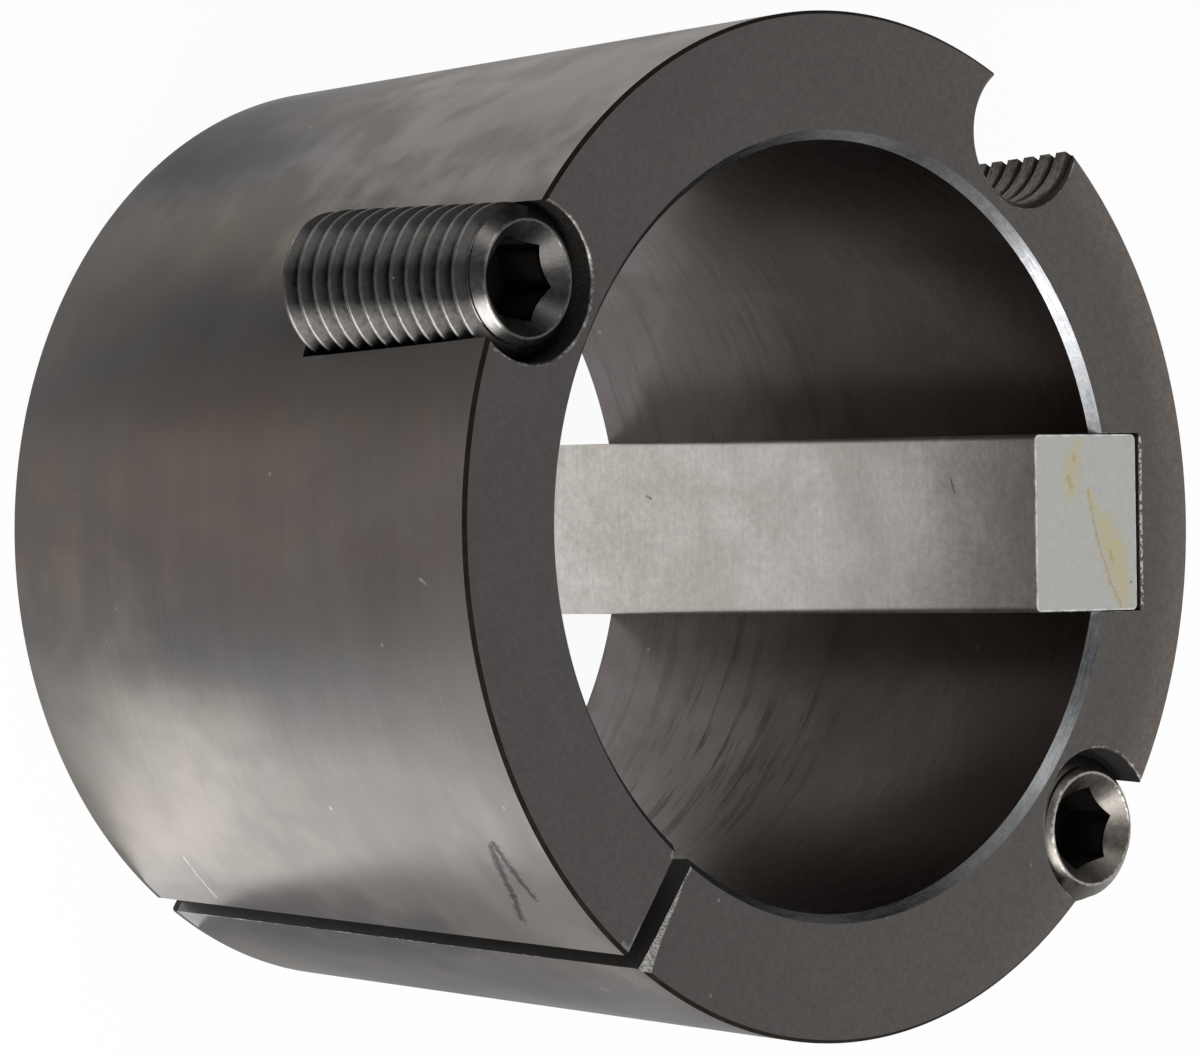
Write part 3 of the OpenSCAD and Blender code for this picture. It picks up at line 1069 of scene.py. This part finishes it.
def set_screw(name, screw):
    """A screw from its point at z = 0 up, moved to its pocket."""
    finishes = [screw_finishes[name]]
    rod = helical(TOOTH, SCREW_LEN / PITCH + 4, closed=False)
    bmesh.ops.translate(rod, vec=(0, 0, -2 * PITCH), verts=rod.verts)
    moved_to(rod, screw["thread_turn"], (0, 0, 0))
    piece = link(name + "_threaded", rod, finishes)
    blank_r = SCREW_R + THREAD_CLEAR
    blank = [
        (0, 0),
        (blank_r - POINT_BREAK, 0),
        (blank_r, POINT_BREAK),
        (blank_r, SCREW_LEN - (blank_r - END_FLAT_R)),
        (END_FLAT_R, SCREW_LEN),
        (0, SCREW_LEN),
    ]
    boolean(piece, lathe(blank, SCREW_STEPS, closed=False), finishes, "INTERSECT")
    socket = bmesh.new()
    across_corners = SOCKET_AF / math.sqrt(3)
    bmesh.ops.create_cone(
        socket,
        cap_ends=True,
        segments=6,
        radius1=across_corners,
        radius2=across_corners,
        depth=SOCKET_DEPTH + OVER,
    )
    moved_to(socket, screw["socket_turn"], (0, 0, SCREW_LEN + (OVER - SOCKET_DEPTH) / 2))
    boolean(piece, socket, finishes)
    sink = [(0, SCREW_LEN - SOCKET_MOUTH_R), (SOCKET_MOUTH_R + 1, SCREW_LEN + 1), (0, SCREW_LEN + 1)]
    boolean(piece, lathe(sink, SCREW_STEPS, closed=False), finishes)
    floor_z = LENGTH - SCREW_LEN - screw["recess"]
    piece.data.transform(Matrix.Translation(on_circle(screw["dir"], CENTRE_R + SCREW_OUT, floor_z)))
    print(name, len(piece.data.polygons), "faces")
    return piece


screw_pieces = {name: set_screw(name, screw) for name, screw in SCREWS.items()}

# %% [markdown]
# ## The key
# A length of bright bar. Its long edges are rounded by the drawing die, and its ends were dressed with a
# file, which left a narrow chamfer.

# %% Key
KEY_ROUND = 0.7
KEY_END_BREAK = 0.24
SIDE, END, FILED = range(3)
bm = bar((KEY_LOW, -KEY_W / 2, 0), (KEY_HIGH, KEY_W / 2, LENGTH))
bm.normal_update()
for part in bm.faces:
    part.material_index = END if abs(part.normal.z) > 0.5 else SIDE
long_edges = [e for e in bm.edges if abs((e.verts[0].co - e.verts[1].co).z) > 1]
bevel(bm, long_edges, KEY_ROUND, 5)
end_edges = [e for e in bm.edges if {part.material_index for part in e.link_faces} == {SIDE, END}]
bevel(bm, end_edges, KEY_END_BREAK, 2, FILED)
key = link("key_bar", moved_to(bm, KEY_DIR, (0, 0, 0)), [bright, bright_end, bright_edge])
print("key", len(key.data.polygons), "faces")

# %% [markdown]
# ## Finish the meshes
# Each mesh is scaled to metres and rides on the body "root" in place of its plain node. Sharp edges are
# marked, and the normals are weighted by area, so that a narrow bevel doesn't bend the shading of the large
# faces beside it.


# %% Hand the pieces to the frame
SHADED_SHARP = math.radians(32)


def hand_over(piece, node):
    piece.data.transform(Matrix.Scale(MM, 4))
    piece.data.shade_smooth()
    piece.data.set_sharp_from_angle(angle=SHADED_SHARP)
    weighted = piece.modifiers.new("weighted", "WEIGHTED_NORMAL")
    weighted.mode = "FACE_AREA"
    weighted.weight = 100
    weighted.keep_sharp = True
    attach(piece, "root")
    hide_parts(node)
    print(piece.name, "in place of", node)


hand_over(bush, "bush")
hand_over(key, "key")
for node, piece in screw_pieces.items():
    hand_over(piece, node)

# %% [markdown]
# ## Floor and studio
# The floor and the surroundings are white to the camera, to reflections and to glass, through Light Path.
# For everything else they are plain, so that they don't flood the part with light, and the floor keeps a
# soft shadow.


# %% Floor and surroundings
def seen_directly(net):
    """1 for what the camera, a reflection or glass sees, and 0 for plain light."""
    path = net.node("LightPath").outputs
    seen = net.calc("MAXIMUM", path["Is Camera Ray"], path["Is Glossy Ray"])
    return net.calc("MAXIMUM", seen, path["Is Transmission Ray"])


FLOOR_R = 3000
FLOOR_GLOW = 0.95
WORLD_LIGHT = 0.35

white = bpy.data.materials.new("floor_white")
white.use_nodes = True
net = Net(white.node_tree)
net.tree.nodes.remove(net.tree.nodes["Principled BSDF"])
paper = net.node("BsdfDiffuse", {"Color": (0.95, 0.95, 0.95, 1)}).outputs[0]
glow = net.node("Emission", {"Strength": 1.0}).outputs[0]
blend = net.node("MixShader", {0: net.calc("MULTIPLY", seen_directly(net), FLOOR_GLOW), 1: paper, 2: glow})
net.put(net.tree.nodes["Material Output"].inputs["Surface"], blend.outputs[0])

bm = bmesh.new()
bmesh.ops.create_circle(bm, cap_ends=True, segments=64, radius=FLOOR_R)
floor = link("floor", bm, [])
floor.data.materials.append(white)
floor.data.transform(Matrix.Scale(MM, 4))

world = bpy.data.worlds.new("studio")
bpy.context.scene.world = world
world.use_nodes = True
net = Net(world.node_tree)
net.put(net.tree.nodes["Background"].inputs["Color"], (1, 1, 1, 1))
strength = net.node("MapRange", {"Value": seen_directly(net), "To Min": WORLD_LIGHT, "To Max": 1.0})
net.put(net.tree.nodes["Background"].inputs["Strength"], strength.outputs[0])
print("floor of", FLOOR_R, "mm, surroundings of strength", WORLD_LIGHT)

# %% [markdown]
# A dark shiny part is lit by what it reflects. Two soft boxes light it from above, and a low one beside the
# cone gives the long highlight near the split. Grey and black cards stand where a photographer would put
# them, to keep dark edges beside the highlights. They show only in reflections, and gauze at their edges
# makes those edges soft.


# %% Soft boxes
def area_lamp(name, width, height, radiance):
    """A lamp with the same brightness whatever its size, which the camera doesn't see."""
    data = bpy.data.lights.new(name, "AREA")
    data.shape = "RECTANGLE"
    data.size = width
    data.size_y = height
    data.energy = radiance * math.pi * width * height
    lamp = bpy.data.objects.new(name, data)
    bpy.context.scene.collection.objects.link(lamp)
    lamp.visible_camera = False
    print(name, round(data.energy, 4), "W")
    return lamp


def softbox(name, azimuth, elevation, distance, width, height, radiance):
    """A lamp that looks at the middle of the bush."""
    lamp = area_lamp(name, width, height, radiance)
    tilt = math.radians(elevation)
    back = on_circle(math.radians(azimuth), math.cos(tilt), math.sin(tilt))
    lamp.location = Vector((0, 0, LENGTH * MM / 2)) + back * distance
    lamp.rotation_euler = (-back).to_track_quat("-Z", "Y").to_euler()


softbox("key_light", azimuth=268, elevation=37, distance=0.8, width=0.66, height=0.20, radiance=14)
softbox("fill_light", azimuth=148, elevation=33, distance=0.8, width=0.26, height=0.20, radiance=5)
low_light = area_lamp("low_light", width=0.046, height=0.080, radiance=2.9)
low_light.location = (-0.0104, -0.0905, 0.001)
low_light.rotation_euler = (math.pi, 0, math.radians(11))


# %% Dark cards
CARD_OUT = 1200
CARD_LIFT = 0.5
CARD_STEPS = 12


def flag(name, centre, start, end, inner, height, grey, fade, fade_angle):
    """A dark card that lies on the floor and stands up behind, between two directions from a centre."""
    bm = bmesh.new()
    profile = [(inner, CARD_LIFT), (CARD_OUT, CARD_LIFT), (CARD_OUT, height)]
    spin_profile(bm, profile, False, math.radians(end - start), CARD_STEPS)
    moved_to(bm, math.radians(start), centre)
    card = link(name, bm, [])
    card.data.transform(Matrix.Scale(MM, 4))
    black = bpy.data.materials.new(name + "_black")
    black.use_nodes = True
    net = Net(black.node_tree)
    felt = net.tree.nodes["Principled BSDF"]
    net.put(felt.inputs["Base Color"], (grey, grey, grey, 1))
    net.put(felt.inputs["Roughness"], 1.0)
    place = net.use(PLACE, centre=centre, turn=math.radians((start + end) / 2))
    parts = net.node("SeparateXYZ", {0: place["Place"]}).outputs
    aside = net.calc("ABSOLUTE", net.calc("ARCTAN2", parts["Y"], parts["X"]))
    half = math.radians(end - start) / 2
    solid = net.calc(
        "MULTIPLY",
        net.step(place["Radius"], inner, inner + fade),
        net.step(aside, half, half - math.radians(fade_angle)),
    )
    gauze = net.node("BsdfTransparent").outputs[0]
    soft = net.node("MixShader", {0: solid, 1: gauze, 2: felt.outputs[0]})
    net.put(net.tree.nodes["Material Output"].inputs["Surface"], soft.outputs[0])
    card.data.materials.append(black)
    card.visible_camera = False
    card.visible_diffuse = False
    card.visible_shadow = False
    card.visible_transmission = False
    print(name, "from", start, "to", end, "degrees")


NEAR_CARD = {"centre": (-29, -16, 0), "inner": 17, "grey": 0.50, "fade": 36, "fade_angle": 15}
FAR_CARD = {"centre": (0, 0, 0), "inner": 290, "grey": 0.03, "fade": 30, "fade_angle": 4}
flag("flag_left", start=138, end=198, height=1500, **NEAR_CARD)
flag("flag_right", start=311, end=340, height=450, **FAR_CARD)
flag("flag_back", start=74, end=123, height=520, **FAR_CARD)

bpy.context.scene.view_settings.view_transform = "Standard"
